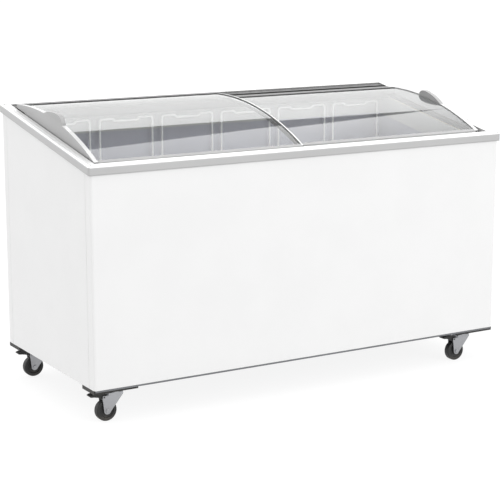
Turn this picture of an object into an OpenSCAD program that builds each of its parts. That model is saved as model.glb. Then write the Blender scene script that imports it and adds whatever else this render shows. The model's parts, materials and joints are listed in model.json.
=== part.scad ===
// Chest freezer with a sloping top, two sliding curved glass lids, six wire baskets and four
// braked swivel casters. The origin is on the floor under the middle of the cabinet.
// X runs along the cabinet, Y towards its back and Z up.

/* [Cabinet] */
// Length of the painted body
body_l = 1490; // [1480:1:1500]
// Depth of the painted body
body_w = 658; // [654:1:662]
// Height of the body's lower edge above the floor
base_z = 111.5; // [110:0.5:116]
// Height of the trim's top edge at the front
front_z = 775; // [750:1:800]
// Slope of the top, in degrees
slope = 10.15; // [9.9:0.05:10.4]
// How far the trim stands out past the body's ends
rim_out_x = 7.5; // [5:0.5:10]
// How far the trim stands out past the front and back
rim_out_y = 6; // [5:0.5:8]
// Thickness of the painted sheets
sheet_t = 1.2; // [0.8:0.1:1.6]
// Radius of the body's upright corners
corner_r = 8; // [6:1:12]

/* [Tank] */
// Half of the tank's inside length
tank_hx = 685; // [680:1:687]
// Front wall of the tank, inside
tank_front = -274; // [-276:1:-272]
// Back wall of the tank, inside
tank_back = 269; // [268:1:270]
// Height of the tank's floor
tank_floor = 176; // [170:1:185]
// Height of the step over the machine compartment
step_z = 440; // [430:1:444]
// Where the step begins
step_x = 445; // [440:1:450]

/* [Lids] */
// Outer radius of the left pane, which slides above the right one
lid_r = 1100; // [1098:0.5:1102]
// Thickness of the glass
glass_t = 4; // [3:0.5:5]
// How much lower the right pane runs
lid_drop = 12; // [11.5:0.5:13]

/* [Baskets] */
// Distance from one basket to the next
basket_pitch = 228; // [224:1:228]
// Length of one basket along the cabinet
basket_l = 216; // [200:1:218]
// Width of the raised hoop at the back of a basket
hoop_w = 198; // [170:1:200]
// Height of the hoops' tops above the floor
hoop_z = 835; // [820:1:842]
// Thickness of the wires
wire_t = 5; // [4:0.5:6]

/* [Casters] */
// Radius of the wheels
wheel_r = 33; // [31:0.5:34]
// Width of the wheels
wheel_w = 22; // [18:1:22]
// How far the wheels trail behind their swivels
trail = 30; // [26:1:32]
// Distance from the middle of the cabinet to the swivels, lengthways
caster_x = 656; // [640:1:660]
// Distance from the middle of the cabinet to the swivels, across
caster_y = 276; // [270:1:280]

/* [Hidden] */
$fn = 64;

white = [0.95, 0.95, 0.96];
pale = [0.82, 0.83, 0.84];
grey = [0.62, 0.63, 0.64];
dark = [0.22, 0.23, 0.24];
black = [0.06, 0.06, 0.07];
zinc = [0.72, 0.73, 0.75];
copper = [0.78, 0.47, 0.30];

// Trim frame, measured in the sloping plane: v runs up the slope and n stands out of it.
rim_hx = body_l / 2 + rim_out_x;
rim_hy = body_w / 2 + rim_out_y;
rim_t = 24.6;
side_rim_w = 34;
front_rim_w = 31;
rear_rim_w = 15;
track_t = 25;
front_track_t = 30;
rail_w = 29.4;
seat_n = -25.2;
side_inner = rim_hx - side_rim_w;
seam_y = body_w / 2 - 36;
seam_gap = 1;

// Guides: the lids' runners stand in these channels, given as [from, to] up the slope.
front_outer = [37, 53];
front_inner = [61, 77];
rear_outer = [592, 614];
rear_inner = [561, 587];
front_track_span = [32, 80];
rear_track_span = [557, 670];
front_floors = [-20, -24];
rear_floor = -12;
rear_rib = [626, 631];
runner_gap = 2;

// Centre of the panes' curve in the sloping plane.
curve_v = 352.1;
curve_n = -1057.6;

// Lids lengthways: [left end, right end].
left_span = [-715.5, 0];
right_span = [-8, 710];
left_v = [42, 618];
right_v = [66, 562];
frame_w = 14;
strip_w = 6;
gusset_t = 6;
shell_over = 2.5;
grip_w = 14;
left_grip_high = 22;
right_grip_high = 18;
grip_under = 14;

// Machine compartment, at the right-hand end under the step.
machine_x = 500;
machine_top = 398;

floor_t = 2;
pot_x = 622;
pot_y = 130;
fan_x = 620;
fan_z = 255;
fan_y = -150;
shaft_r = 4;
knob_y = 240;
knob_z = 260;
cover_x = [560, 720];
gland_x = 524;
gland_z = 150;
gland_r = 4;
drain_x = -300;
cover_z = [145, 375];
grille_y = [-270, 270];
grille_z = [150, 370];

// Pipework: bends, the evaporator's turns round the liner, and the upright lines.
bend_r = 10;
coil_gap = 6;
coil_r = 4;
coil_levels = [240, 340, 500, 600];
pipe_x = 508;
pipe_y = [20, 30, 60];
drier_x = 732;
drier_y = -250;
condenser_y = [-216, -194];

// Baskets: depth and height, the bars between their edges, and the dip in the hoop.
basket_y = [-258, 258];
basket_z = [470, 690];
basket_bars = [5, 10, 4];
hoop_dip = [88, 8];
weld_gap = 0.1;

// Casters.
bracket_t = 12;
plate_z = base_z - bracket_t;
plate_t = 2.5;
plate_l = 95;
plate_w = 64;
leg_in = wheel_w / 2 + 2;
leg_t = 2.5;
axle_r = 4;
pin_r = 2.5;
king_r = 5;
running = 0.06;
bolt_dx = 36;
bolt_dy = 22;
pivot_x = -40;
pivot_z = 76;
CORNERS = [["fl", -1, -1], ["fr", 1, -1], ["rl", -1, 1], ["rr", 1, 1]];

// ---------- helpers ----------

function arc_points(cx, cy, r, a0, a1, n) =
    [for (i = [0:n]) [cx + r * cos(a0 + (a1 - a0) * i / n), cy + r * sin(a0 + (a1 - a0) * i / n)]];

function round_rect(l, w, r) = concat(
    arc_points(l / 2 - r, w / 2 - r, r, 0, 90, 6),
    arc_points(-l / 2 + r, w / 2 - r, r, 90, 180, 6),
    arc_points(-l / 2 + r, -w / 2 + r, r, 180, 270, 6),
    arc_points(l / 2 - r, -w / 2 + r, r, 270, 360, 6));

// Height of the top plane at a given depth.
function top_z(y) = front_z + (y + rim_hy) * tan(slope);

// Height of a pane's curve over the sloping plane.
function curve_at(v, r) = curve_n + sqrt(r * r - (v - curve_v) * (v - curve_v));

module in_top_plane() {
    translate([0, -rim_hy, front_z])
        rotate([slope, 0, 0])
            children();
}

// A block given by its low and high corners.
module block(low, high) {
    translate(low)
        cube(high - low);
}

// Everything below a level in the sloping plane.
module below(n) {
    in_top_plane()
        block([-900, -200, n - 1300], [900, 900, n]);
}

// Everything under the top frame, with a rebate for the front track.
module below_seat() {
    difference() {
        below(seat_n);
        in_top_plane()
            block([-side_inner, front_track_span[0] - 0.3, -front_track_t - 0.3],
                [side_inner, front_track_span[1] + 0.3, 0]);
    }
}

// A round bar from one point to another.
module rod(p, q, r) {
    d = q - p;
    long = norm(d);
    translate(p)
        rotate([0, acos(d[2] / long), atan2(d[1], d[0])])
            cylinder(h = long, r = r, $fn = 24);
}

// Direction from one point to another, as a unit vector.
function heading(p, q) = (q - p) / norm(q - p);

// A tube through a list of points that turns squarely at each, with a bend of radius bend_r.
module tube(points, r) {
    n = len(points) - 1;
    for (i = [0:n - 1]) {
        d = heading(points[i], points[i + 1]);
        first = i == 0 ? points[i] : points[i] + d * bend_r;
        last = i == n - 1 ? points[n] : points[i + 1] - d * bend_r;
        rod(first, last, r);
    }
    for (i = [1:n - 1]) {
        a = heading(points[i - 1], points[i]);
        b = heading(points[i], points[i + 1]);
        c = points[i] + (b - a) * bend_r;
        up = cross(a, b);
        multmatrix([[-b[0], a[0], up[0], c[0]],
            [-b[1], a[1], up[1], c[1]],
            [-b[2], a[2], up[2], c[2]],
            [0, 0, 0, 1]])
            rotate_extrude(angle = 90, $fn = 48)
                translate([bend_r, 0])
                    circle(r = r, $fn = 24);
    }
}

// An outline in Y and Z, drawn out along X.
module along_x(x0, x1) {
    translate([x0, 0, 0])
        rotate([90, 0, 90])
            linear_extrude(x1 - x0)
                children();
}

// An outline in X and Z, drawn out along Y.
module along_y(y0, y1) {
    translate([0, y1, 0])
        rotate([90, 0, 0])
            linear_extrude(y1 - y0)
                children();
}

// ---------- cabinet shell ----------

module shell_wall() {
    intersection() {
        translate([0, 0, base_z])
            linear_extrude(1000)
                difference() {
                    polygon(round_rect(body_l, body_w, corner_r));
                    polygon(round_rect(body_l - 2 * sheet_t, body_w - 2 * sheet_t,
                        corner_r - sheet_t));
                }
        below(seat_n);
    }
}

module wrap_panel(side) {
    color(white)
        intersection() {
            shell_wall();
            translate([0, side * (seam_y + 100 + seam_gap / 2), 500])
                cube([2000, 200, 1000], center = true);
        }
}

module front_panel() {
    wrap_panel(-1);
}

module rear_panel() {
    difference() {
        wrap_panel(1);
        block([cover_x[0], 300, cover_z[0]], [cover_x[1], 340, cover_z[1]]);
        cover_screw_places()
            cylinder(h = 30, r = 2.2, center = true, $fn = 24);
        translate([gland_x, 320, gland_z])
            rotate([-90, 0, 0])
                cylinder(h = 20, r = 9, $fn = 32);
    }
}

module side_panel(side) {
    color(white)
        intersection() {
            shell_wall();
            translate([side * 700, 0, 500])
                cube([200, 2 * seam_y - seam_gap, 1000], center = true);
        }
}

module left_side_panel() {
    side_panel(-1);
}

module right_side_panel() {
    difference() {
        side_panel(1);
        block([700, grille_y[0], grille_z[0]], [800, grille_y[1], grille_z[1]]);
    }
}

// Bottom pan with turned-down lips, and the folded partition of the machine compartment.
module base_tray() {
    hx = body_l / 2 - sheet_t - 0.2;
    hy = body_w / 2 - sheet_t - 0.2;
    color(zinc) {
        difference() {
            intersection() {
                union() {
                    block([-hx, -hy, base_z], [hx, hy, base_z + floor_t]);
                    for (side = [-1, 1])
                        translate([0, side * (hy - 0.8), base_z - 3])
                            cube([2 * hx, 1.6, 6], center = true);
                }
                linear_extrude(900)
                    polygon(round_rect(2 * hx, 2 * hy, corner_r - sheet_t));
            }
            caster_bolt_places()
                cylinder(h = 300, r = 4.3, center = true, $fn = 24);
            translate([drain_x, 0, base_z])
                cylinder(h = 20, r = 14.2, center = true, $fn = 48);
            for (i = [0:7])
                translate([530 + 24 * i, 0, base_z])
                    cube([8, 300, 20], center = true);
        }
        along_y(-hy + 3, hy - 3)
            polygon([[machine_x - 1, base_z + floor_t], [machine_x, base_z + floor_t],
                [machine_x, machine_top - 1], [hx, machine_top - 1], [hx, machine_top],
                [machine_x - 1, machine_top]]);
    }
}

module corner_brackets() {
    color(black)
        difference() {
            for (c = CORNERS)
                at_corner(c)
                    block([600, 243, plate_z], [body_l / 2, 325, base_z]);
            caster_bolt_places()
                cylinder(h = 300, r = 4.2, center = true, $fn = 24);
        }
}

// Puts something drawn in the positive corner into the corner c.
module at_corner(c) {
    mirror([c[1] < 0 ? 1 : 0, 0, 0])
        mirror([0, c[2] < 0 ? 1 : 0, 0])
            children();
}

// ---------- insulation and tank ----------

// The tank's outline in X and Z, grown outwards by g.
module tank_outline(g) {
    polygon([[-tank_hx - g, tank_floor - g], [step_x + g, tank_floor - g],
        [step_x + g, step_z - g], [tank_hx + g, step_z - g],
        [tank_hx + g, 1000], [-tank_hx - g, 1000]]);
}

module tank_space(g) {
    along_y(tank_front - g, tank_back + g)
        tank_outline(g);
}

module insulation_foam() {
    inner_l = body_l - 2 * sheet_t - 0.4;
    inner_w = body_w - 2 * sheet_t - 0.4;
    groove = 12;
    color([0.93, 0.86, 0.62])
        difference() {
            intersection() {
                translate([0, 0, base_z + floor_t])
                    linear_extrude(900)
                        polygon(round_rect(inner_l, inner_w, corner_r - sheet_t));
                below_seat();
            }
            tank_space(1.2);
            block([machine_x - 1, -400, 0], [900, 400, machine_top]);
            for (z = coil_levels)
                intersection() {
                    tank_space(1.2 + groove);
                    block([-800, -400, z - 6], [z > step_z ? 800 : step_x + groove, 400, z + 6]);
                }
            block([-tank_hx - 1.2, tank_back, coil_levels[0] - 6],
                [-tank_hx + 30, tank_back + 1.2 + groove, coil_levels[3] + 6]);
            translate([drain_x, 0, base_z])
                cylinder(h = 200, r = 14.2, center = true, $fn = 48);
        }
}

// Folded sheets that make the tub. They meet edge to edge.
module inner_liner() {
    t = 1.2;
    color([0.74, 0.75, 0.79])
        difference() {
            intersection() {
                union() {
                    for (side = [-1, 1]) {
                        low = side < 0 ? tank_floor : step_z;
                        block([side < 0 ? -tank_hx - t : tank_hx, tank_front, low],
                            [side < 0 ? -tank_hx : tank_hx + t, tank_back, 1000]);
                    }
                    block([-tank_hx - t, tank_front, tank_floor - t],
                        [step_x + t, tank_back, tank_floor]);
                    block([step_x, tank_front, tank_floor], [step_x + t, tank_back, step_z - t]);
                    block([step_x, tank_front, step_z - t], [tank_hx + t, tank_back, step_z]);
                }
                below_seat();
            }
            translate([drain_x, 0, tank_floor])
                cylinder(h = 20, r = 14.2, center = true, $fn = 48);
        }
    color([0.74, 0.75, 0.79])
        for (y = [tank_front - t, tank_back])
            intersection() {
                along_y(y, y + t)
                    tank_outline(t);
                below_seat();
            }
}

// Plastic strips that cover the liner's upper edge, just inside it. They butt at the corners.
module breaker_strips() {
    t = 2.5;
    depth = 92;
    gap = 0.2;
    end = gap + t + gap;
    color(pale)
        intersection() {
            below_seat();
            union() {
                for (x = [-tank_hx + gap, tank_hx - gap - t])
                    block([x, tank_front + end, 0], [x + t, tank_back - end, 1000]);
                for (y = [tank_front + gap, tank_back - gap - t])
                    block([-tank_hx + gap, y, 0], [tank_hx - gap, y + t, 1000]);
            }
            in_top_plane()
                block([-900, 0, -depth], [900, 900, seat_n - 0.3]);
        }
}

// ---------- top frame ----------

// Outline of the front or back trim in Y and Z, with an upright outer face. side is -1 or 1.
module cross_rim_outline(side, width) {
    outer = side * rim_hy;
    inner = side * (rim_hy - width);
    r = 5;
    bottom = top_z(outer) - 25;
    centre = [outer - side * r, top_z(outer - side * r) - r];
    rounding = side < 0
        ? arc_points(centre[0], centre[1], r, 180, 90 + slope, 5)
        : arc_points(centre[0], centre[1], r, 0, 90 + slope, 5);
    polygon(concat([[inner, bottom - side * width * tan(slope)],
        [outer - side * 2, bottom - side * 2 * tan(slope)], [outer - side * 2, bottom + 3],
        [outer, bottom + 3]], rounding, [[inner, top_z(inner)]]));
}

// Outline of a side trim in X and n: rounded outer edge, a low ridge and a shallow dip.
module side_rim_outline() {
    h = rim_hx;
    polygon([[h - side_rim_w, -rim_t], [h - 2, -rim_t], [h - 2, -rim_t + 3], [h, -rim_t + 3],
        [h, -3.5], [h - 1, -1.5], [h - 3, -0.3], [h - 5, 0.8], [h - 8, 1.4], [h - 11, 0.8],
        [h - 13, -1], [h - 15.5, -1.6], [h - 18, -1], [h - 20, 0], [h - side_rim_w, 0]]);
}

// Plan of the region that belongs to the front or back trim, with mitred ends.
module mitre_plan(side, width) {
    polygon([[-rim_hx - 1, side * (rim_hy + 1)], [rim_hx + 1, side * (rim_hy + 1)],
        [rim_hx, side * rim_hy], [side_inner, side * (rim_hy - width)],
        [-side_inner, side * (rim_hy - width)], [-rim_hx, side * rim_hy]]);
}

module cross_rim(side, width) {
    color(white)
        intersection() {
            along_x(-rim_hx, rim_hx)
                cross_rim_outline(side, width);
            linear_extrude(1000)
                mitre_plan(side, width);
            linear_extrude(1000)
                polygon(round_rect(2 * rim_hx, 2 * rim_hy, 9));
        }
}

module rim_front() {
    cross_rim(-1, front_rim_w);
}

module rim_rear() {
    cross_rim(1, rear_rim_w);
}

module side_rim() {
    color(white)
        difference() {
            intersection() {
                in_top_plane()
                    rotate([90, 0, 0])
                        translate([0, 0, -750])
                            linear_extrude(800)
                                side_rim_outline();
                linear_extrude(1000)
                    polygon(round_rect(2 * rim_hx, 2 * rim_hy, 9));
            }
            linear_extrude(1000)
                mitre_plan(-1, front_rim_w);
            linear_extrude(1000)
                mitre_plan(1, rear_rim_w);
        }
}

module rim_right() {
    side_rim();
}

module rim_left() {
    mirror([1, 0, 0])
        side_rim();
}

// Dark extrusion with two channels and three ribs.
module rear_track() {
    hx = side_inner - 0.2;
    s = rear_track_span;
    f = rear_floor;
    rib = rear_rib;
    color(dark)
        intersection() {
            in_top_plane()
                along_x(-hx, hx)
                    polygon([[s[0], -track_t], [s[1], -track_t], [s[1], -3], [rib[1], -3],
                        [rib[1], 0], [rib[0], 0], [rib[0], -4], [rear_outer[1], -4],
                        [rear_outer[1], f], [rear_outer[0], f], [rear_outer[0], 0],
                        [rear_inner[1], 0], [rear_inner[1], f], [rear_inner[0], f],
                        [rear_inner[0], 0], [s[0], 0]]);
            block([-900, 0, 0], [900, rim_hy - rear_rim_w - 0.3, 1000]);
        }
}

// Stepped guide behind the front trim, low enough to hide behind the trim's edge.
module front_track() {
    hx = side_inner - 0.3;
    s = front_track_span;
    f = front_floors;
    t = front_track_t;
    color(grey)
        in_top_plane()
            along_x(-hx, hx)
                polygon([[s[0], -t], [s[1] - 12, -t], [s[1], -t + 2],
                    [s[1], f[1] + 2.4], [front_inner[1], f[1] + 2.4], [front_inner[1], f[1]],
                    [front_inner[0], f[1]], [front_inner[0], -13.6], [front_outer[1], -13.6],
                    [front_outer[1], f[0]], [front_outer[0], f[0]], [front_outer[0], -3],
                    [s[0], -3]]);
}

module side_rails() {
    color(dark)
        in_top_plane()
            for (side = [-1, 1])
                translate([side * (side_inner - 0.7 - rail_w / 2), 0, 0])
                    block([-rail_w / 2, front_track_span[1] + 0.5, -track_t],
                        [rail_w / 2, rear_track_span[0] - 0.5, -16]);
}

// ---------- lids ----------

// A curved band between two radii, cut to a span in X and in v.
module curved_band(r0, r1, x, v) {
    intersection() {
        translate([x[0], curve_v, curve_n])
            rotate([0, 90, 0])
                difference() {
                    cylinder(h = x[1] - x[0], r = r1, $fn = 256);
                    translate([0, 0, -1])
                        cylinder(h = x[1] - x[0] + 2, r = r0, $fn = 256);
                }
        block([x[0] - 1, v[0], -60], [x[1] + 1, v[1], 100]);
    }
}

module pane(r, x, v) {
    color([0.80, 0.87, 0.88, 0.35])
        in_top_plane()
            curved_band(r - glass_t, r, x, v);
}

module left_lid_glass() {
    pane(lid_r, [left_span[0] + 3, left_span[1] - 2], left_v);
}

module right_lid_glass() {
    pane(lid_r - lid_drop, [right_span[0] + 2, right_span[1] - 3], right_v);
}

// U-shaped profile over the pane's end, with the gusset plate that closes the end below it.
// The plate reaches down to plate_n, and to skirt_n between the front and rear tracks.
module end_frame(r, x_end, side, v, plate_v, plate_n, skirt_n) {
    skirt_v = [plate_v[0] + 4, min(plate_v[1], rear_track_span[0] - 2)];
    x = side < 0 ? [x_end, x_end + frame_w] : [x_end - frame_w, x_end];
    slot = side < 0 ? [x_end + 3, x_end + 40] : [x_end - 40, x_end - 3];
    plate = side < 0 ? [x_end, x_end + gusset_t] : [x_end - gusset_t, x_end];
    color(grey)
        in_top_plane()
            difference() {
                union() {
                    curved_band(r - glass_t - shell_over, r + shell_over, x, v);
                    intersection() {
                        translate([plate[0], curve_v, curve_n])
                            rotate([0, 90, 0])
                                cylinder(h = gusset_t, r = r - glass_t - 1, $fn = 256);
                        union() {
                            block([plate[0], plate_v[0], plate_n], [plate[1], plate_v[1], 100]);
                            block([plate[0], skirt_v[0], skirt_n], [plate[1], skirt_v[1], 50]);
                        }
                    }
                }
                curved_band(r - glass_t, r, slot, v);
            }
}

module left_lid_end_frame() {
    end_frame(lid_r, left_span[0], -1, [left_v[0], left_v[1] + 3], [80, 618], 1, -5);
}

module right_lid_end_frame() {
    end_frame(lid_r - lid_drop, right_span[1], 1, [right_v[0], right_v[1] + 3], [100, 550],
        -5, -9);
}

module edge_strip(r, x, slot, v) {
    color(dark)
        in_top_plane()
            difference() {
                curved_band(r - glass_t - shell_over, r + shell_over, x, v);
                curved_band(r - glass_t, r, slot, v);
            }
}

module left_lid_edge_strip() {
    e = left_span[1];
    edge_strip(lid_r, [e - strip_w, e], [e - 40, e - 2], [left_v[0], left_v[1] + 3]);
}

module right_lid_edge_strip() {
    e = right_span[0];
    edge_strip(lid_r - lid_drop, [e, e + strip_w], [e + 2, e + 40], [right_v[0], right_v[1] + 3]);
}

// Runners: each wraps an edge of the pane and stands in its channel.
module runners(r, x, v, front, rear, floor_front, floor_rear) {
    lip = 5;
    color(pale)
        in_top_plane()
            difference() {
                intersection() {
                    union() {
                        block([x[0], front[0] + runner_gap, floor_front + 1.5],
                            [x[1], front[1] - runner_gap, 30]);
                        block([x[0], rear[0] + 1, floor_rear + 1.2],
                            [x[1], rear[1] - 1, 40]);
                        block([x[0], v[1] - 30 + lip, 1], [x[1], min(v[1] + lip, 640), 40]);
                    }
                    translate([x[0] - 1, curve_v, curve_n])
                        rotate([0, 90, 0])
                            cylinder(h = x[1] - x[0] + 2, r = r + shell_over, $fn = 256);
                }
                curved_band(r - glass_t, r, [x[0] - 1, x[1] + 1], v);
            }
}

module left_lid_sliders() {
    runners(lid_r, [left_span[0] + frame_w, left_span[1] - strip_w], left_v,
        front_outer, rear_outer, front_floors[0], rear_floor);
}

module right_lid_sliders() {
    runners(lid_r - lid_drop, [right_span[0] + strip_w, right_span[1] - frame_w], right_v,
        front_inner, rear_inner, front_floors[1], rear_floor);
}

// Half-moon grip: steep at one end, easing down to the other, with a lower lip under the pane.
module grip_outline(r, v0, v1, high) {
    n = 20;
    steep = 28 * (v1 > v0 ? 1 : -1);
    function rise(v) = abs(v - v0) < 28
        ? high * sqrt(max(0, 1 - pow((v0 + steep - v) / steep, 2)))
        : high * (1 - pow((v - v0 - steep) / (v1 - v0 - steep), 2));
    base = [for (i = [n:-1:0]) let (v = v0 + (v1 - v0) * i / n) [v, curve_at(v, r)]];
    top = [for (i = [0:n])
        let (v = v0 + (v1 - v0) * pow(i / n, 1.5)) [v, curve_at(v, r) + rise(v)]];
    polygon(concat(top, base));
}

module grip(r, x, inner_x, v0, v1, high) {
    apart = 0.02;
    over = r + shell_over + apart;
    under = r - glass_t - shell_over - apart;
    color(grey)
        in_top_plane() {
            along_x(x[0], x[1])
                grip_outline(over, v0, v1, high);
            along_x(inner_x[0], inner_x[1])
                grip_outline(under, v0, v1, -grip_under);
        }
}

module left_lid_handle() {
    e = left_span[0];
    grip(lid_r, [e, e + grip_w], [e + gusset_t + 0.1, e + grip_w], 276, 412, left_grip_high);
}

module right_lid_handle() {
    e = right_span[1];
    grip(lid_r - lid_drop, [e - grip_w, e], [e - grip_w, e - gusset_t - 0.1], 392, 269,
        right_grip_high);
}

// ---------- baskets ----------

// A flat grid of bars, drawn in two directions u and w.
module grid(u, w, nu, nw) {
    for (i = [0:nu])
        translate([i * (u - wire_t) / nu, 0])
            square([wire_t, w]);
    for (i = [0:nw])
        translate([0, i * (w - wire_t) / nw])
            square([u, wire_t]);
}

// Half of the hoop's top bar, seen from the front, with half of its dip.
module hoop_half() {
    t = wire_t;
    edge = hoop_dip[0] / 2;
    dip = hoop_dip[1];
    polygon([[0, -t - dip], [edge - 3, -t - dip], [edge + 3, -t], [hoop_w / 2, -t],
        [hoop_w / 2, -2], [hoop_w / 2 - 2, 0], [edge + 1, 0], [edge - 5, -dip], [0, -dip]]);
}

// One basket: five flat grids and the open hoop over the back one, a hair apart at the welds.
module basket(i) {
    x = (i - 3.5) * basket_pitch - basket_l / 2;
    y0 = basket_y[0];
    y1 = basket_y[1];
    z0 = basket_z[0];
    z1 = basket_z[1];
    t = wire_t;
    g = weld_gap;
    bars = basket_bars;
    middle = x + basket_l / 2;
    color(white) {
        translate([x, y0, z0])
            linear_extrude(t)
                grid(basket_l, y1 - y0, bars[0], bars[1]);
        for (y = [y0, y1 - t])
            translate([x, y + t, z0 + t + g])
                rotate([90, 0, 0])
                    linear_extrude(t)
                        grid(basket_l, z1 - z0 - t - g, bars[0], bars[2]);
        for (dx = [0, basket_l - t])
            translate([x + dx, y0 + t + g, z0 + t + g])
                rotate([90, 0, 90])
                    linear_extrude(t)
                        grid(y1 - y0 - 2 * t - 2 * g, z1 - z0 - t - g, bars[1], bars[2]);
        for (dx = [-hoop_w / 2, hoop_w / 2 - t])
            block([middle + dx, y1 - t, z1 + g], [middle + dx + t, y1, hoop_z - t - g]);
        along_y(y1 - t, y1)
            translate([middle, hoop_z]) {
                hoop_half();
                mirror([1, 0])
                    hoop_half();
            }
    }
}

// Ledges on the front and back walls, under the baskets' edges.
module basket_rails() {
    hx = tank_hx - 4;
    reach = 30;
    t = 3;
    top = basket_z[0];
    color(zinc)
        for (side = [-1, 1]) {
            wall = side < 0 ? tank_front : tank_back;
            along_x(-hx, hx)
                polygon([[wall, top - 24], [wall, top], [wall - side * reach, top],
                    [wall - side * reach, top - t], [wall - side * t, top - t],
                    [wall - side * t, top - 24]]);
        }
}

// ---------- cooling machine ----------

module compressor_feet() {
    for (dx = [-80, 80])
        for (dy = [-60, 60])
            translate([pot_x + dx, pot_y + dy, 0])
                children();
}

module compressor() {
    foot_z = base_z + floor_t + 22;
    color(black) {
        difference() {
            block([pot_x - 100, pot_y - 75, foot_z], [pot_x + 100, pot_y + 75, foot_z + 4]);
            compressor_feet()
                cylinder(h = 400, r = 5.2, $fn = 24);
        }
        translate([pot_x, pot_y, foot_z + 4])
            rotate_extrude($fn = 96)
                polygon(concat([[0, 0], [70, 0]], arc_points(66, 20, 20, -60, 0, 4),
                    arc_points(26, 110, 60, 0, 75, 8), [[0, 172]]));
        block([pot_x - 100, pot_y - 28, foot_z + 40], [pot_x - 87, pot_y + 28, foot_z + 100]);
    }
}

module compressor_grommets() {
    z = base_z + floor_t;
    color(dark)
        compressor_feet()
            translate([0, 0, z]) {
                cylinder(h = 22, r = 12, $fn = 32);
                cylinder(h = 30, r = 5, $fn = 24);
            }
}

// Fin pack with its tube rows.
module condenser() {
    y = -205;
    color(zinc) {
        for (i = [0:12])
            translate([fan_x, y, fan_z])
                translate([(i - 6) * 15, 0, 0])
                    cube([1.5, 44, 200], center = true);
        for (j = [0:5])
            for (dy = [-11, 11])
                rod([fan_x - 100, y + dy, fan_z - 80 + 32 * j],
                    [fan_x + 100, y + dy, fan_z - 80 + 32 * j], 4);
    }
}

module fan_motor() {
    face = fan_y - 22;
    color(dark) {
        difference() {
            translate([fan_x, face, fan_z])
                cube([206, 3, 206], center = true);
            translate([fan_x, face, fan_z])
                rotate([90, 0, 0])
                    cylinder(h = 10, r = 92, center = true);
        }
        translate([fan_x, fan_y + 62, fan_z])
            rotate([90, 0, 0])
                cylinder(h = 46, r = 34);
        translate([fan_x, fan_y + 20, fan_z])
            rotate([90, 0, 0])
                cylinder(h = 28, r = shaft_r, $fn = 32);
        for (a = [45:90:315])
            translate([fan_x, 0, fan_z])
                rotate([0, a, 0]) {
                    block([-4, fan_y + 30, 20], [4, fan_y + 36, 108]);
                    block([-4, face + 1, 100], [4, fan_y + 36, 108]);
                }
    }
}

module fan_blades() {
    hub_y = fan_y + 8;
    color(pale)
        translate([fan_x, hub_y, fan_z])
            rotate([90, 0, 0])
                difference() {
                    union() {
                        cylinder(h = 20, r = 18);
                        for (a = [0:72:288])
                            rotate([0, 0, a])
                                translate([0, 46, 10])
                                    rotate([0, 32, 0])
                                        cube([34, 72, 2], center = true);
                    }
                    translate([0, 0, -5])
                        cylinder(h = 21, r = shaft_r + running, $fn = 32);
                }
}

// Discharge line, suction line, and the filter drier with its line from the condenser.
module refrigerant_lines() {
    z = base_z + floor_t;
    high = z + 120;
    low = z + 60;
    drier_top = z + 100;
    stub = pot_y - 86.2;
    suction_x = pot_x - 30;
    row_z = [fan_z - 80, fan_z + 80];
    end_x = [fan_x - 100.1, fan_x + 100.1];
    front_y = condenser_y[0];
    back_y = condenser_y[1];
    color(copper) {
        tube([[pot_x, stub, high], [pot_x, pipe_y[0], high], [pipe_x, pipe_y[0], high],
            [pipe_x, back_y, high], [pipe_x, back_y, row_z[1]], [end_x[0], back_y, row_z[1]]], 3);
        tube([[pipe_x, pipe_y[2], machine_top - 58], [pipe_x, pipe_y[2], low],
            [pipe_x, pipe_y[1], low], [suction_x, pipe_y[1], low],
            [suction_x, stub + 4, low]], 4);
        rod([drier_x, drier_y, z + 10], [drier_x, drier_y, drier_top], 9);
        tube([[drier_x, drier_y, drier_top], [drier_x, drier_y, drier_top + 15],
            [drier_x, front_y, drier_top + 15], [drier_x, front_y, row_z[0]],
            [end_x[1], front_y, row_z[0]]], 2.5);
    }
}

module evaporator_coil() {
    g = 1.2 + coil_gap;
    left = -tank_hx - g;
    front = tank_front - g;
    back = tank_back + g;
    riser = -tank_hx + 12;
    color(copper)
        for (i = [0:3]) {
            z = coil_levels[i];
            right = z > step_z ? tank_hx + g : step_x + g;
            tube([[riser, back, z], [left, back, z], [left, front, z], [right, front, z],
                [right, back, z], [riser + 16, back, z]], coil_r);
            if (i < 3)
                rod([riser, back, z + coil_r], [riser, back, coil_levels[i + 1] - coil_r], coil_r - 1);
        }
}

module knob_place(x) {
    translate([x, knob_y, knob_z])
        rotate([0, 90, 0])
            children();
}

module thermostat() {
    color(dark)
        difference() {
            union() {
                knob_place(726)
                    cylinder(h = 15, r = 23.5);
                block([690, knob_y - 20, knob_z - 22], [726, knob_y + 20, knob_z + 22]);
            }
            knob_place(733)
                cylinder(h = 20, r = 20);
            knob_place(715)
                cylinder(h = 30, r = 3 + running, $fn = 32);
        }
}

module thermostat_knob() {
    color(black)
        difference() {
            union() {
                knob_place(733.5)
                    cylinder(h = 10.5, r = 17);
                knob_place(716)
                    cylinder(h = 20, r = 3, $fn = 32);
            }
            block([742.5, knob_y - 1, knob_z + 4], [746, knob_y + 1, knob_z + 18]);
        }
}

module side_grille() {
    x = body_l / 2 - 3.4;
    color(black)
        difference() {
            block([x, grille_y[0] + 0.5, grille_z[0] + 0.5],
                [x + 2.6, grille_y[1] - 0.5, grille_z[1] - 0.5]);
            for (i = [0:17])
                block([x - 1, -254 + 25 * i, grille_z[0] + 20],
                    [x + 5, -242 + 25 * i, grille_z[1] - 20]);
            knob_place(x - 5)
                cylinder(h = 20, r = 24);
            grille_screw_places()
                cylinder(h = 20, r = 2.2, center = true, $fn = 24);
        }
}

module grille_screw_places() {
    for (y = [grille_y[0] + 8, grille_y[1] - 8])
        for (z = [grille_z[0] + 9, grille_z[1] - 9])
            translate([body_l / 2 - 2, y, z])
                rotate([0, 90, 0])
                    children();
}

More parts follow.
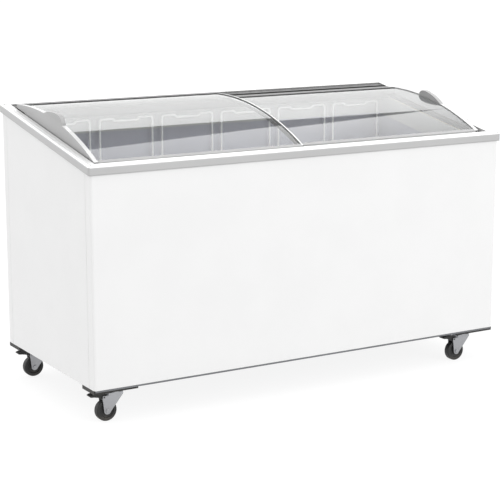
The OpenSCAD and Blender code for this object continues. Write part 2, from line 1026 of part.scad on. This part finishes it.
module cover_screw_places() {
    for (x = [cover_x[0] - 6, (cover_x[0] + cover_x[1]) / 2, cover_x[1] + 6])
        for (z = [cover_z[0] - 8, cover_z[1] + 8])
            translate([x, body_w / 2, z])
                rotate([-90, 0, 0])
                    children();
}

module rear_cover() {
    y = body_w / 2 + 0.1;
    color(white)
        difference() {
            block([cover_x[0] - 14, y, cover_z[0] - 16], [cover_x[1] + 14, y + 1.6, cover_z[1] + 16]);
            for (i = [0:8])
                block([cover_x[0] + 10, y - 1, cover_z[0] + 16 + 22 * i],
                    [cover_x[1] - 10, y + 5, cover_z[0] + 24 + 22 * i]);
            cover_screw_places()
                cylinder(h = 20, r = 2.2, center = true, $fn = 24);
        }
}

// Cord entry beside the machine cover, with an open bore for the cord.
module cable_gland() {
    color(black)
        translate([gland_x, 0, gland_z])
            rotate([-90, 0, 0])
                difference() {
                    union() {
                        translate([0, 0, 304])
                            cylinder(h = 28, r = 8.8, $fn = 48);
                        translate([0, 0, body_w / 2 + 0.1])
                            cylinder(h = 4, r = 14, $fn = 48);
                    }
                    translate([0, 0, 300])
                        cylinder(h = 40, r = gland_r, $fn = 48);
                }
}

// Drain tube from the tank's floor, closed by a plug from inside.
module drain_plug() {
    color(white)
        translate([drain_x, 0, 0]) {
            difference() {
                translate([0, 0, base_z - 6])
                    cylinder(h = tank_floor - base_z + 6, r = 14, $fn = 48);
                translate([0, 0, base_z - 7])
                    cylinder(h = 100, r = 11, $fn = 48);
            }
            translate([0, 0, tank_floor - 18])
                cylinder(h = 18, r = 10.8, $fn = 48);
            translate([0, 0, tank_floor])
                cylinder(h = 4, r = 18, $fn = 48);
        }
}

// Screws of the covers and bolts of the casters.
module fasteners() {
    color(zinc) {
        cover_screw_places() {
            translate([0, 0, 1.7])
                cylinder(h = 2.2, r = 4.5, $fn = 32);
            translate([0, 0, -10])
                cylinder(h = 11.7, r = 2, $fn = 24);
        }
        grille_screw_places() {
            translate([0, 0, 1.2])
                cylinder(h = 1.6, r = 4, $fn = 32);
            translate([0, 0, -10])
                cylinder(h = 11.2, r = 2, $fn = 24);
        }
        caster_bolt_places() {
            translate([0, 0, plate_z - plate_t - 4.5])
                cylinder(h = 4.5, r = 7, $fn = 6);
            translate([0, 0, plate_z - plate_t])
                cylinder(h = bracket_t + plate_t + 1, r = 4, $fn = 24);
        }
    }
}

// ---------- casters ----------

module caster_bolt_places() {
    for (c = CORNERS)
        for (dx = [-bolt_dx, bolt_dx])
            for (dy = [-bolt_dy, bolt_dy])
                translate([c[1] * caster_x + dx, c[2] * caster_y + dy, 0])
                    children();
}

module at_caster(k) {
    translate([CORNERS[k][1] * caster_x, CORNERS[k][2] * caster_y, 0])
        children();
}

// Top plates with their ball race and king pin.
module caster_plates() {
    z = plate_z - plate_t;
    crown_z = 84;
    color(zinc)
        for (k = [0:3])
            at_caster(k)
                difference() {
                    union() {
                        translate([0, 0, z + plate_t / 2])
                            cube([plate_l, plate_w, plate_t], center = true);
                        translate([0, 0, z - 4.6])
                            cylinder(h = 4.7, r = 19);
                        translate([0, 0, crown_z - 3.4])
                            cylinder(h = z - crown_z + 3.5, r = king_r);
                        translate([0, 0, crown_z - 4.4])
                            cylinder(h = 4, r = 8);
                    }
                    for (dx = [-bolt_dx, bolt_dx])
                        for (dy = [-bolt_dy, bolt_dy])
                            translate([dx, dy, z - 1])
                                cylinder(h = 6, r = 4.3, $fn = 24);
                }
}

// Fork leg: broad under the crown and tapering to a round end at the axle.
module leg_outline() {
    r = 11;
    polygon(concat(arc_points(-trail, wheel_r, r, 180, 340, 10),
        [[22, 80], [22, 87], [-24, 87], [-27, 80], [-45, 80], [-45, 70]]));
}

// Fork with its crown, ball cup and legs, and the axle bolt through the legs.
module fork() {
    crown_z = 84;
    color(zinc) {
        difference() {
            union() {
                block([-24, -leg_in - leg_t, crown_z], [22, leg_in + leg_t, crown_z + 3]);
                translate([0, 0, crown_z])
                    cylinder(h = 7.7, r = 17);
                for (side = [-1, 1])
                    translate([0, side * (leg_in + leg_t / 2), 0])
                        along_y(-leg_t / 2, leg_t / 2)
                            leg_outline();
            }
            translate([0, 0, 70])
                cylinder(h = 40, r = king_r + running);
            translate([-trail, 0, wheel_r])
                rotate([90, 0, 0])
                    cylinder(h = 60, r = axle_r + 0.1, center = true, $fn = 48);
            translate([pivot_x, 0, pivot_z])
                rotate([90, 0, 0])
                    cylinder(h = 60, r = pin_r + running, center = true, $fn = 48);
        }
        translate([-trail, 0, wheel_r])
            rotate([90, 0, 0]) {
                cylinder(h = 2 * (leg_in + leg_t) + 0.4, r = axle_r, center = true, $fn = 48);
                for (side = [-1, 1])
                    translate([0, 0, side * (leg_in + leg_t + 1.9)])
                        cylinder(h = 3.4, r = 6.5, center = true, $fn = 6);
            }
    }
}

// Solid wheel with a rounded tread and dished faces.
module wheel() {
    h = wheel_w / 2;
    hub_h = h + 1.5;
    color(black)
        translate([-trail, 0, wheel_r])
            rotate([90, 0, 0])
                difference() {
                    rotate_extrude($fn = 96)
                        polygon(concat([[2, -hub_h], [8, -hub_h], [9.5, -h + 3], [21, -h + 3],
                            [23, -h]], arc_points(wheel_r - 4, -h + 4, 4, -90, 0, 5),
                            arc_points(wheel_r - 4, h - 4, 4, 0, 90, 5),
                            [[23, h], [21, h - 3], [9.5, h - 3], [8, hub_h], [2, hub_h]]));
                    cylinder(h = 60, r = axle_r + running, center = true, $fn = 48);
                }
}

// Brake pedal: a toggle that turns on its cross pin and presses its cam on the tread.
module pedal() {
    hw = leg_in - 1;
    color(black) {
        along_y(-hw, hw)
            polygon([[-86, 84.5], [-83, 81], [-70, 79.5], [-58, 77], [-46, 71.5], [-44, 69.5],
                [-36, 69.5], [-34, 73], [-34, 80], [-30, 80], [-30, 83], [-44, 87.5],
                [-58, 89.5], [-72, 89], [-80, 87.5]]);
        translate([pivot_x, 0, pivot_z])
            rotate([90, 0, 0])
                cylinder(h = 2 * (leg_in + leg_t) + 1, r = pin_r, center = true, $fn = 48);
        translate([-40.6, 0, 69.3])
            rotate([90, 0, 0])
                cylinder(h = 2 * hw - 4, r = 4, center = true, $fn = 48);
    }
}

// ---------- all parts ----------

front_panel();
rear_panel();
left_side_panel();
right_side_panel();
base_tray();
corner_brackets();
insulation_foam();
inner_liner();
breaker_strips();
rim_front();
rim_rear();
rim_left();
rim_right();
rear_track();
front_track();
side_rails();
basket(1);  // basket_1
basket(2);  // basket_2
basket(3);  // basket_3
basket(4);  // basket_4
basket(5);  // basket_5
basket(6);  // basket_6
basket_rails();
compressor();
compressor_grommets();
condenser();
fan_motor();
fan_blades();
refrigerant_lines();
evaporator_coil();
thermostat();
thermostat_knob();
side_grille();
rear_cover();
cable_gland();
drain_plug();
fasteners();
left_lid_glass();
left_lid_end_frame();
left_lid_edge_strip();
left_lid_handle();
left_lid_sliders();
right_lid_glass();
right_lid_end_frame();
right_lid_edge_strip();
right_lid_handle();
right_lid_sliders();
caster_plates();
at_caster(0) fork();  // caster_fl_fork
at_caster(0) wheel();  // caster_fl_wheel
at_caster(0) pedal();  // caster_fl_pedal
at_caster(1) fork();  // caster_fr_fork
at_caster(1) wheel();  // caster_fr_wheel
at_caster(1) pedal();  // caster_fr_pedal
at_caster(2) fork();  // caster_rl_fork
at_caster(2) wheel();  // caster_rl_wheel
at_caster(2) pedal();  // caster_rl_pedal
at_caster(3) fork();  // caster_rr_fork
at_caster(3) wheel();  // caster_rr_wheel
at_caster(3) pedal();  // caster_rr_pedal
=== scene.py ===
import json
import math

import bmesh
import bpy
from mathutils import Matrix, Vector


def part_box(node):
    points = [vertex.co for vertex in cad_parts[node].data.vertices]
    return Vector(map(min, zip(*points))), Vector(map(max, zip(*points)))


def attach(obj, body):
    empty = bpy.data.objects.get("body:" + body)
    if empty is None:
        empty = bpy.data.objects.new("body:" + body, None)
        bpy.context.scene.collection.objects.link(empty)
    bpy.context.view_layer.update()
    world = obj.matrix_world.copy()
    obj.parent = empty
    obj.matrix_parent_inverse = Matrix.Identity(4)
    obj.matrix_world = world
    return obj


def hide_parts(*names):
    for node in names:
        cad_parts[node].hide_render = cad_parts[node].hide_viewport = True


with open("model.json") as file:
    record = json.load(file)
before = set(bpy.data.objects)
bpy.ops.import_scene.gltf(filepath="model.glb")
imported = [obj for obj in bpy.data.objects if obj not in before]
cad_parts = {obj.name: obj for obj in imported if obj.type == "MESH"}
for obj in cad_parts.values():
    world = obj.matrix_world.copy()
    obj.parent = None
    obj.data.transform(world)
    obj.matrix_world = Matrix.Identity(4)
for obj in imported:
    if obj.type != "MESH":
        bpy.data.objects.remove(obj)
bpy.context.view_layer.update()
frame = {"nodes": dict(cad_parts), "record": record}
nodes = frame["nodes"]


# ---------- camera ----------

YAW = math.radians(30.72)
PITCH = math.radians(11.70)
lens = bpy.data.cameras.new("camera")
lens.lens = 110.7
lens.sensor_width = 36.0
lens.clip_end = 200.0
camera = bpy.data.objects.new("camera", lens)
camera.location = (-2.564, -4.282, 1.432)
camera.rotation_euler = (math.pi / 2 - PITCH, 0.0, -YAW)
bpy.context.scene.collection.objects.link(camera)
bpy.context.scene.camera = camera


# ---------- node helpers ----------

class Nodes:
    """Short calls for one node tree. A value given as a socket is linked; anything else is set."""

    def __init__(self, tree):
        self.tree = tree
        self.tree.nodes.clear()

    def add(self, kind, **fields):
        node = self.tree.nodes.new(kind)
        for key, value in fields.items():
            setattr(node, key, value)
        return node

    def put(self, socket, value):
        if isinstance(value, bpy.types.NodeSocket):
            self.tree.links.new(value, socket)
        else:
            socket.default_value = value

    def math(self, operation, a, b=0.0, clamp=False):
        node = self.add("ShaderNodeMath", operation=operation, use_clamp=clamp)
        self.put(node.inputs[0], a)
        self.put(node.inputs[1], b)
        return node.outputs[0]

    def dot(self, a, b):
        node = self.add("ShaderNodeVectorMath", operation="DOT_PRODUCT")
        self.put(node.inputs[0], a)
        self.put(node.inputs[1], b)
        return node.outputs["Value"]

    def axis(self, vector, letter):
        node = self.add("ShaderNodeSeparateXYZ")
        self.put(node.inputs[0], vector)
        return node.outputs[letter]

    def ramp(self, value, low, high, to_low=0.0, to_high=1.0):
        node = self.add("ShaderNodeMapRange", interpolation_type="SMOOTHSTEP")
        for name, v in (("Value", value), ("From Min", low), ("From Max", high),
                        ("To Min", to_low), ("To Max", to_high)):
            self.put(node.inputs[name], v)
        return node.outputs["Result"]

    def noise(self, place, scale, detail=2.0, rough=0.5):
        node = self.add("ShaderNodeTexNoise")
        self.put(node.inputs["Vector"], place)
        node.inputs["Scale"].default_value = scale
        node.inputs["Detail"].default_value = detail
        node.inputs["Roughness"].default_value = rough
        return node.outputs["Fac"]

    def stretch(self, place, scale):
        node = self.add("ShaderNodeMapping")
        self.put(node.inputs["Vector"], place)
        node.inputs["Scale"].default_value = scale
        return node.outputs["Vector"]

    def mix(self, share, a, b):
        node = self.add("ShaderNodeMix", data_type="RGBA")
        self.put(node.inputs[0], share)
        self.put(node.inputs[6], a)
        self.put(node.inputs[7], b)
        return node.outputs[2]

    def bump(self, height, distance, strength=1.0, normal=None):
        node = self.add("ShaderNodeBump")
        node.inputs["Strength"].default_value = strength
        node.inputs["Distance"].default_value = distance
        self.put(node.inputs["Height"], height)
        if normal is not None:
            self.put(node.inputs["Normal"], normal)
        return node.outputs["Normal"]


DUST = (120, 112, 102)


def rgba(colour):
    """Display grey or colour, 0 to 255, as a linear colour."""
    values = (colour,) * 3 if isinstance(colour, (int, float)) else colour
    linear = []
    for v in values:
        v = v / 255.0
        linear.append(v / 12.92 if v <= 0.04045 else ((v + 0.055) / 1.055) ** 2.4)
    return (*linear, 1.0)


def new_material(name):
    """A material with an empty tree, its principled shader and its output, not linked yet."""
    made = bpy.data.materials.new(name)
    made.use_nodes = True
    n = Nodes(made.node_tree)
    out = n.add("ShaderNodeOutputMaterial")
    return made, n, n.add("ShaderNodeBsdfPrincipled"), out


def surface(name, colour, rough, metallic=0.0, grain=900.0, grain_depth=0.00002, tone=0.03,
            stretch=(1.0, 1.0, 1.0), edge=0.0, edge_colour=None, grime=0.0, grime_top=0.2,
            gloss=0.5, coat=0.0, swing=0.06, wear_and_highlight=1.0, top=None, back=None, shelf=None):
    """A finish at its real scale: tone drifts, grain lies in it, dirt gathers low down, and edges
    are rubbed lighter, partly real rubbing and partly a painted highlight.

    edge is the radius of the rubbed edges in metres, and grime_top the height that dirt reaches.
    top is a painted highlight: the colour of faces that look up, as if lit from above. back is
    painted shade: the darker colour of the rear half. shelf is an X and the painted shade colour
    that the faces that look up have beyond it.
    """
    made, n, shader, out = new_material(name)
    n.tree.links.new(shader.outputs[0], out.inputs[0])
    place = n.add("ShaderNodeTexCoord").outputs["Object"]
    drift = n.noise(place, 7.0, 3.0)
    fine = n.noise(n.stretch(place, stretch), grain, 2.0)
    patchy = n.noise(place, 45.0, 4.0, 0.6)
    base = rgba(colour)
    darker = tuple(c * (1.0 - 2.0 * tone) for c in base[:3]) + (1.0,)
    lighter = tuple(min(1.0, c * (1.0 + tone)) for c in base[:3]) + (1.0,)
    shade = n.mix(n.ramp(drift, 0.3, 0.7), darker, lighter)
    shade = n.mix(n.math("MULTIPLY", n.ramp(fine, 0.35, 0.75), 0.35), shade, base)
    # Painted shade: the rear half, past Y = 0.11, takes the darker back colour.
    if back is not None:
        shade = n.mix(n.ramp(n.axis(place, "Y"), 0.10, 0.12), shade, rgba(back))
    # Painted light: faces that look up take top, a painted highlight; past the shelf X they take
    # its painted shade.
    if top is not None:
        lit_from_above = n.dot(n.add("ShaderNodeNewGeometry").outputs["Normal"], (0.0, 0.0, 1.0))
        painted_top_light_and_shade = rgba(top)
        if shelf is not None:
            start, shelf_painted_shade = shelf
            shelf_shade_mask = n.ramp(n.axis(place, "X"), start - 0.001, start)
            painted_top_light_and_shade = n.mix(shelf_shade_mask, painted_top_light_and_shade, rgba(shelf_painted_shade))
        shade = n.mix(n.ramp(lit_from_above, 0.35, 0.75), shade, painted_top_light_and_shade)
    normal = None
    # Rubbed edges lighten: partly real rubbing, partly a painted highlight on the edge.
    if edge > 0.0:
        bevel = n.add("ShaderNodeBevel", samples=6)
        bevel.inputs["Radius"].default_value = edge
        normal = bevel.outputs[0]
        flat = n.add("ShaderNodeNewGeometry").outputs["Normal"]
        turned = n.ramp(n.dot(normal, flat), 0.99, 0.8)
        rubbed_and_highlit = n.math("MULTIPLY", turned, n.ramp(patchy, 0.35, 0.7, 0.0, wear_and_highlight))
        shade = n.mix(rubbed_and_highlit, shade, edge_colour or lighter)
    if grime > 0.0:
        low = n.ramp(n.axis(place, "Z"), grime_top, 0.0)
        dirt = n.math("MULTIPLY", n.math("MULTIPLY", low, n.ramp(patchy, 0.3, 0.8)), grime)
        shade = n.mix(dirt, shade, rgba(DUST))
    n.put(shader.inputs["Base Color"], shade)
    smoothest = max(0.02, rough - swing)
    n.put(shader.inputs["Roughness"], n.ramp(patchy, 0.25, 0.75, smoothest, rough + swing))
    shader.inputs["Metallic"].default_value = metallic
    shader.inputs["Specular IOR Level"].default_value = gloss
    if coat > 0.0:
        shader.inputs["Coat Weight"].default_value = coat
        shader.inputs["Coat Roughness"].default_value = 0.08
    n.put(shader.inputs["Normal"], n.bump(fine, grain_depth, 1.0, normal))
    return made


def pane_material(name):
    """Clear tempered glass, a little green, with wiping marks in its gloss.

    Lamps shine through it.
    """
    made, n, glass, out = new_material(name)
    place = n.add("ShaderNodeTexCoord").outputs["Object"]
    wiped = n.noise(n.stretch(place, (1.0, 4.0, 4.0)), 22.0, 4.0, 0.6)
    clean = (0.965, 0.985, 0.975, 1.0)
    smeared = (0.985, 0.99, 0.985, 1.0)
    tint = n.mix(n.ramp(wiped, 0.3, 0.8), clean, smeared)
    n.put(glass.inputs["Base Color"], tint)
    n.put(glass.inputs["Roughness"], n.ramp(wiped, 0.45, 0.85, 0.0, 0.035))
    glass.inputs["Transmission Weight"].default_value = 1.0
    glass.inputs["IOR"].default_value = 1.5
    clear = n.add("ShaderNodeBsdfTransparent")
    clear.inputs["Color"].default_value = (0.96, 0.97, 0.965, 1.0)
    mix = n.add("ShaderNodeMixShader")
    ray = n.add("ShaderNodeLightPath")
    n.tree.links.new(ray.outputs["Is Shadow Ray"], mix.inputs[0])
    n.tree.links.new(glass.outputs[0], mix.inputs[1])
    n.tree.links.new(clear.outputs[0], mix.inputs[2])
    n.tree.links.new(mix.outputs[0], out.inputs[0])
    return made


# ---------- finishes ----------
# Colours are display greys, or display red, green and blue, from 0 to 255.

# The trim's faces that look up carry a painted highlight (top) over its grey sides.
TRIM = {"colour": 180, "rough": 0.32, "grain": 260, "grain_depth": 0.00003, "tone": 0.015,
        "stretch": (0.15, 6.0, 6.0), "edge": 0.0016, "coat": 0.2, "swing": 0.03, "wear_and_highlight": 0.2,
        "top": 252}

# Lighter edge colours below are partly rubbing, partly a painted highlight on the edges.
FINISHES = {
    "white_sheet": surface("white_sheet", 229, 0.34, grain=1400, grain_depth=0.00003, tone=0.006,
                           edge=0.0015, grime=0.12, grime_top=0.16),
    "rim_trim": surface("rim_trim", **TRIM),
    "zinc_steel": surface("zinc_steel", (118, 119, 122), 0.42, metallic=0.85, grain=500, tone=0.06,
                          edge=0.0008, grime=0.3, grime_top=0.12),
    "black_steel": surface("black_steel", 14, 0.5, grain=1600, grain_depth=0.00006, tone=0.1,
                           edge=0.001, edge_colour=rgba(60), grime=0.12, grime_top=0.3),
    "foam": surface("foam", (226, 208, 150), 0.9, grain=420, grain_depth=0.0006, tone=0.08,
                    gloss=0.2),
    "liner_sheet": surface("liner_sheet", (168, 168, 182), 0.16, metallic=0.0, grain=700,
                           grain_depth=0.00003, tone=0.02, edge=0.002, gloss=0.6, coat=0.8),
    "strip_plastic": surface("strip_plastic", 176, 0.35, grain=1200, tone=0.02, edge=0.0008),
    "track_dark": surface("track_dark", 46, 0.4, grain=900, grain_depth=0.00004, tone=0.05,
                          stretch=(0.2, 3.0, 3.0), edge=0.0008, edge_colour=rgba(120), wear_and_highlight=0.5),
    "track_light": surface("track_light", 252, 0.35, grain=900, tone=0.02, edge=0.0008),
    "white_wire": surface("white_wire", 255, 0.3, grain=2200, grain_depth=0.00005, tone=0.01),
    "rubber": surface("rubber", 30, 0.7, grain=1800, grain_depth=0.0001, tone=0.12, edge=0.001),
    "black_plastic": surface("black_plastic", 36, 0.45, grain=2400, grain_depth=0.00006, tone=0.08,
                             edge=0.0008, edge_colour=rgba(70)),
    # This plastic's rear half is painted shade (back), darker than its front.
    "pale_plastic": surface("pale_plastic", 174, 0.4, grain=2000, tone=0.03, edge=0.0006, back=90),
    "copper": surface("copper", (196, 122, 84), 0.3, metallic=1.0, grain=600, tone=0.12),
    "glass": pane_material("glass"),
    # The lid frame's faces that look up carry a painted highlight (top).
    "lid_frame": surface("lid_frame", 172, 0.3, grain=900, grain_depth=0.00003, tone=0.02,
                         edge=0.0012, coat=0.2, swing=0.03, wear_and_highlight=0.2, top=224),
    "edge_dark": surface("edge_dark", 30, 0.3, grain=900, tone=0.03, edge=0.0012,
                         edge_colour=rgba(60)),
    # This strip's faces that look up carry a painted highlight (top) over its dark sides.
    "edge_light": surface("edge_light", 84, 0.3, grain=900, tone=0.02, edge=0.0008, wear_and_highlight=0.2,
                          top=236),
    "grip_grey": surface("grip_grey", 172, 0.38, grain=1800, grain_depth=0.00006, tone=0.03,
                         edge=0.0012, swing=0.03, wear_and_highlight=0.3),
    "fork_zinc": surface("fork_zinc", (164, 165, 168), 0.34, metallic=0.9, grain=420, tone=0.05,
                         edge=0.0008, grime=0.2, grime_top=0.1),
    "wheel_tyre": surface("wheel_tyre", 16, 0.55, grain=1500, grain_depth=0.00012, tone=0.12,
                          edge=0.0012, edge_colour=rgba(36), grime=0.25, grime_top=0.03),
    "pedal_black": surface("pedal_black", 10, 0.45, grain=2000, grain_depth=0.00006, tone=0.1,
                           edge=0.0008, edge_colour=rgba(40)),
}

for entry in frame["record"]["subparts"]:
    for mesh_slot in nodes[entry["node"]].material_slots:
        mesh_slot.link = "OBJECT"
        mesh_slot.material = FINISHES[entry["material_slot"]]

# The left trim's faces that look up get painted shade, a darker grey, from this X inwards.
left_trim_painted_shade = surface("rim_trim_left_painted_shade", shelf=(-0.7395, 218), **TRIM)
for mesh_slot in nodes["rim_left"].material_slots:
    mesh_slot.material = left_trim_painted_shade


# ---------- baskets of round wire ----------

def arc_corners(points, radius, closed, steps=5):
    """A path with its corners rounded, as points."""
    path = []
    count = len(points)
    for i, corner in enumerate(points):
        if not closed and i in (0, count - 1):
            path.append(Vector(corner))
            continue
        here = Vector(corner)
        back = Vector(points[i - 1]) - here
        ahead = Vector(points[(i + 1) % count]) - here
        cut = min(radius, 0.45 * back.length, 0.45 * ahead.length)
        start = here + back.normalized() * cut
        end = here + ahead.normalized() * cut
        for k in range(steps + 1):
            t = k / steps
            path.append((1 - t) ** 2 * start + 2 * t * (1 - t) * here + t * t * end)
    return path


def add_wire(mesh, points, radius, closed=False, sides=8):
    """Sweeps a round wire along a path into the bmesh."""
    count = len(points)
    rings = []
    side = None
    for i, point in enumerate(points):
        if closed:
            along = (points[(i + 1) % count] - points[i - 1]).normalized()
        else:
            along = (points[min(i + 1, count - 1)] - points[max(i - 1, 0)]).normalized()
        if side is None:
            side = along.orthogonal().normalized()
        side = (side - along * side.dot(along)).normalized()
        other = along.cross(side)
        rings.append([
            mesh.verts.new(point + radius * (math.cos(a) * side + math.sin(a) * other))
            for a in (2 * math.pi * k / sides for k in range(sides))
        ])
    pairs = zip(rings, rings[1:] + rings[:1]) if closed else zip(rings, rings[1:])
    for first, second in pairs:
        for k in range(sides):
            mesh.faces.new((first[k], first[(k + 1) % sides], second[(k + 1) % sides], second[k]))
    if not closed:
        mesh.faces.new(rings[0][::-1])
        mesh.faces.new(rings[-1])


def spread(low, high, gap):
    """Evenly spaced places from low to high, about gap apart, with both ends."""
    count = max(1, round((high - low) / gap))
    return [low + (high - low) * i / count for i in range(count + 1)]


def basket_mesh(low, high, body_top):
    """A basket in its own place: grids, rings round its sides, and the hoop over its rear wall.

    thick and thin are the radii of the two kinds of wire, and gap the space between thin wires.
    """
    mesh = bmesh.new()
    thick = 0.0031
    thin = 0.0018
    gap = 0.03
    first = 0.018
    x0, x1 = low.x + thick, high.x - thick
    y0, y1 = low.y + thick, high.y - thick
    z0 = low.z + thick
    top = high.z - thick
    rim = body_top - thick
    round_by = 0.014
    for z, r in ((rim, thick), (z0 + 0.006, thin), (z0 + 0.11, thin)):
        ring = [(x0, y0, z), (x1, y0, z), (x1, y1, z), (x0, y1, z)]
        add_wire(mesh, arc_corners(ring, round_by, True), r, closed=True)
    for z in spread(z0 + 0.04, rim - 0.04, 0.035):
        ring = [(x0, y0, z), (x1, y0, z), (x1, y1, z), (x0, y1, z)]
        add_wire(mesh, arc_corners(ring, round_by, True), thin, closed=True)
    for x in spread(x0 + first, x1 - first, gap):
        path = [(x, y0 + thin, rim), (x, y0 + thin, z0), (x, y1 - thin, z0), (x, y1 - thin, rim)]
        add_wire(mesh, arc_corners(path, round_by, False), thin)
    for y in spread(y0 + first, y1 - first, gap):
        path = [(x0 + thin, y, rim), (x0 + thin, y, z0 + 2 * thin), (x1 - thin, y, z0 + 2 * thin),
                (x1 - thin, y, rim)]
        add_wire(mesh, arc_corners(path, round_by, False), thin)
    middle = (low.x + high.x) / 2
    half = 0.099 - thick
    dip = 0.044
    lean = 0.003
    drop = 0.008
    foot = z0 + 0.03
    hoop = [(middle - half, y1, foot), (middle - half, y1, top),
            (middle - dip - lean, y1, top), (middle - dip + lean, y1, top - drop),
            (middle + dip - lean, y1, top - drop), (middle + dip + lean, y1, top),
            (middle + half, y1, top), (middle + half, y1, foot)]
    add_wire(mesh, arc_corners(hoop, 0.010, False), thick, sides=10)
    data = bpy.data.meshes.new("basket_wires")
    bmesh.ops.recalc_face_normals(mesh, faces=mesh.faces)
    mesh.to_mesh(data)
    mesh.free()
    data.polygons.foreach_set("use_smooth", [True] * len(data.polygons))
    data.materials.append(FINISHES["white_wire"])
    return data


BASKET_DEPTH = 0.220
first_low, first_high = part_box("basket_1")
wires = basket_mesh(first_low, first_high, first_low.z + BASKET_DEPTH)
for number in range(1, 7):
    node = f"basket_{number}"
    piece = bpy.data.objects.new(f"{node}_wires", wires)
    piece.location.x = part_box(node)[0].x - first_low.x
    bpy.context.scene.collection.objects.link(piece)
    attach(piece, "cabinet")
    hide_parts(node)


# ---------- stage and light ----------

# The floor glows, so that it stays white round the cabinet.
bpy.ops.mesh.primitive_plane_add(size=160.0, location=(0, 0, 0))
floor = bpy.context.object
floor.name = "floor"
floor_finish = surface("floor_paint", 124, 0.7, grain=300, tone=0.002, gloss=0.0)
lit = next(n for n in floor_finish.node_tree.nodes if n.type == "BSDF_PRINCIPLED")
lit.inputs["Emission Color"].default_value = (1.0, 1.0, 1.0, 1.0)
lit.inputs["Emission Strength"].default_value = 0.86
floor.data.materials.append(floor_finish)

# A soft white studio. What glossy surfaces mirror is brighter overhead and has a dark flag in it,
# bounded by two planes and a left end. The flag makes the dark band across the panes.
world = bpy.data.worlds.new("studio")
world.use_nodes = True
bpy.context.scene.world = world
w = Nodes(world.node_tree)
world_out = w.add("ShaderNodeOutputWorld")
sky = w.add("ShaderNodeBackground")
w.tree.links.new(sky.outputs[0], world_out.inputs[0])
toward = w.add("ShaderNodeTexCoord").outputs["Generated"]
up = w.axis(toward, "Z")
soft = w.ramp(up, 0.0, 1.0, 0.84, 1.20)
over = w.ramp(w.dot(toward, (0.0, -0.875, 1.0)), -0.01, 0.01)
beside = w.ramp(w.dot(toward, (-0.5525, 0.7919, -0.2600)), -0.006, 0.006)
right_of = w.ramp(w.axis(toward, "X"), -0.3, -0.2)
flag = w.math("MULTIPLY", w.math("MULTIPLY", over, beside), right_of)
overhead = w.ramp(up, 0.15, 0.62, 1.35, 2.7)
mirrored = w.math("MULTIPLY", overhead, w.math("SUBTRACT", 1.0, flag))
rays = w.add("ShaderNodeLightPath")
glossy = w.math("MULTIPLY", rays.outputs["Is Reflection Ray"],
                w.math("SUBTRACT", 1.0, rays.outputs["Is Diffuse Ray"]))
strength = w.add("ShaderNodeMix", data_type="FLOAT")
w.put(strength.inputs[0], glossy)
w.put(strength.inputs[2], soft)
w.put(strength.inputs[3], mirrored)
w.put(sky.inputs["Strength"], strength.outputs[0])
sky.inputs["Color"].default_value = (1.0, 1.0, 1.0, 1.0)


def softbox(name, place, aim, size, watts):
    """A large soft lamp that looks at a point."""
    lamp = bpy.data.lights.new(name, "AREA")
    lamp.shape = "RECTANGLE"
    lamp.size, lamp.size_y = size
    lamp.energy = watts
    thing = bpy.data.objects.new(name, lamp)
    thing.location = place
    thing.rotation_mode = "QUATERNION"
    thing.rotation_quaternion = (Vector(aim) - Vector(place)).to_track_quat("-Z", "Y")
    bpy.context.scene.collection.objects.link(thing)


softbox("front_box", (2.6, -5.0, 2.6), (0.0, -0.3, 0.5), (3.0, 2.4), 54)

bpy.context.scene.view_settings.view_transform = "Standard"
